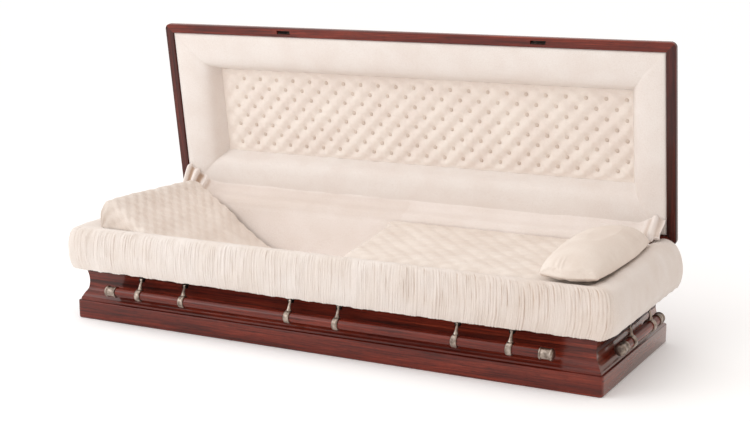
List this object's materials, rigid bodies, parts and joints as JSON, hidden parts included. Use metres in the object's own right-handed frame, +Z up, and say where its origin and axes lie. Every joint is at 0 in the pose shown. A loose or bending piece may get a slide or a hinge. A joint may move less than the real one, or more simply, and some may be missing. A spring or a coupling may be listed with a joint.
{
  "type": "funeral casket",
  "caption": "Full-length mahogany casket, shown open, with a tufted lid lining, padded overlay, bed covers, pillow and swing-bar handles.",
  "frame": {"origin": "middle of the underside, at the foot of the base moulding", "axes": "+X to the head end, -Y to the front, +Y to the hinge side, +Z up"},
  "size_m": [2.227, 0.9171, 1.0984],
  "materials": {
    "polished_mahogany": "polished, dark red-brown with a fine grain along each member",
    "cream_crepe": "soft cream crepe, smooth or finely gathered",
    "quilted_crepe": "soft cream crepe, button tufted in diamonds",
    "antique_nickel": "antique nickel, dark in the recesses",
    "hinge_brass": "satin"
  },
  "bodies": {
    "case": {"back_lug_1": "antique_nickel", "back_lug_2": "antique_nickel", "back_lug_3": "antique_nickel", "back_panel": "polished_mahogany", "base_moulding": "polished_mahogany", "bed_quilt": "quilted_crepe", "floor_board": "polished_mahogany", "foot_lug_1": "antique_nickel", "foot_panel": "polished_mahogany", "foot_throw": "quilted_crepe", "front_lug_1": "antique_nickel", "front_lug_2": "antique_nickel", "front_lug_3": "antique_nickel", "front_panel": "polished_mahogany", "head_lug_1": "antique_nickel", "head_panel": "polished_mahogany", "hinge_apron": "cream_crepe", "hinge_case_leaf": "hinge_brass", "hinge_rail": "polished_mahogany", "mattress": "cream_crepe", "overlay": "cream_crepe", "pillow": "cream_crepe", "side_lining": "cream_crepe", "top_moulding": "polished_mahogany"},
    "lid": {"lid_rim": "polished_mahogany", "lid_crown": "polished_mahogany", "lid_roll": "cream_crepe", "tufted_panel": "quilted_crepe", "lid_catch_foot": "antique_nickel", "lid_catch_head": "antique_nickel", "hinge_lid_leaf": "hinge_brass"},
    "front_handle": {"front_arm_1": "antique_nickel", "front_arm_2": "antique_nickel", "front_arm_3": "antique_nickel", "front_arm_4": "antique_nickel", "front_arm_5": "antique_nickel", "front_arm_6": "antique_nickel", "front_bar": "polished_mahogany", "front_tip_a": "antique_nickel", "front_tip_b": "antique_nickel"},
    "back_handle": {"back_arm_1": "antique_nickel", "back_arm_2": "antique_nickel", "back_arm_3": "antique_nickel", "back_arm_4": "antique_nickel", "back_arm_5": "antique_nickel", "back_arm_6": "antique_nickel", "back_bar": "polished_mahogany", "back_tip_a": "antique_nickel", "back_tip_b": "antique_nickel"},
    "head_handle": {"head_arm_1": "antique_nickel", "head_arm_2": "antique_nickel", "head_bar": "polished_mahogany", "head_tip_a": "antique_nickel", "head_tip_b": "antique_nickel"},
    "foot_handle": {"foot_arm_1": "antique_nickel", "foot_arm_2": "antique_nickel", "foot_bar": "polished_mahogany", "foot_tip_a": "antique_nickel", "foot_tip_b": "antique_nickel"}
  },
  "joints": [
    {"name": "lid_hinge", "type": "hinge", "parent": "case", "child": "lid", "pos_m": [0, 0.363, 0.3605], "axis": [1, 0, 0], "range_deg": [0, 82.9], "deforming": ["foot_throw", "pillow", "hinge_apron"]},
    {"name": "front_handle_swing", "type": "hinge", "parent": "case", "child": "front_handle", "pos_m": [0, -0.364, 0.184], "axis": [-1, 0, 0], "range_deg": [0, 50]},
    {"name": "back_handle_swing", "type": "hinge", "parent": "case", "child": "back_handle", "pos_m": [0, 0.364, 0.184], "axis": [1, 0, 0], "range_deg": [0, 50]},
    {"name": "head_handle_swing", "type": "hinge", "parent": "case", "child": "head_handle", "pos_m": [1.066, 0, 0.184], "axis": [0, -1, 0], "range_deg": [0, 50]},
    {"name": "foot_handle_swing", "type": "hinge", "parent": "case", "child": "foot_handle", "pos_m": [-1.066, 0, 0.184], "axis": [0, 1, 0], "range_deg": [0, 50]}
  ]
}
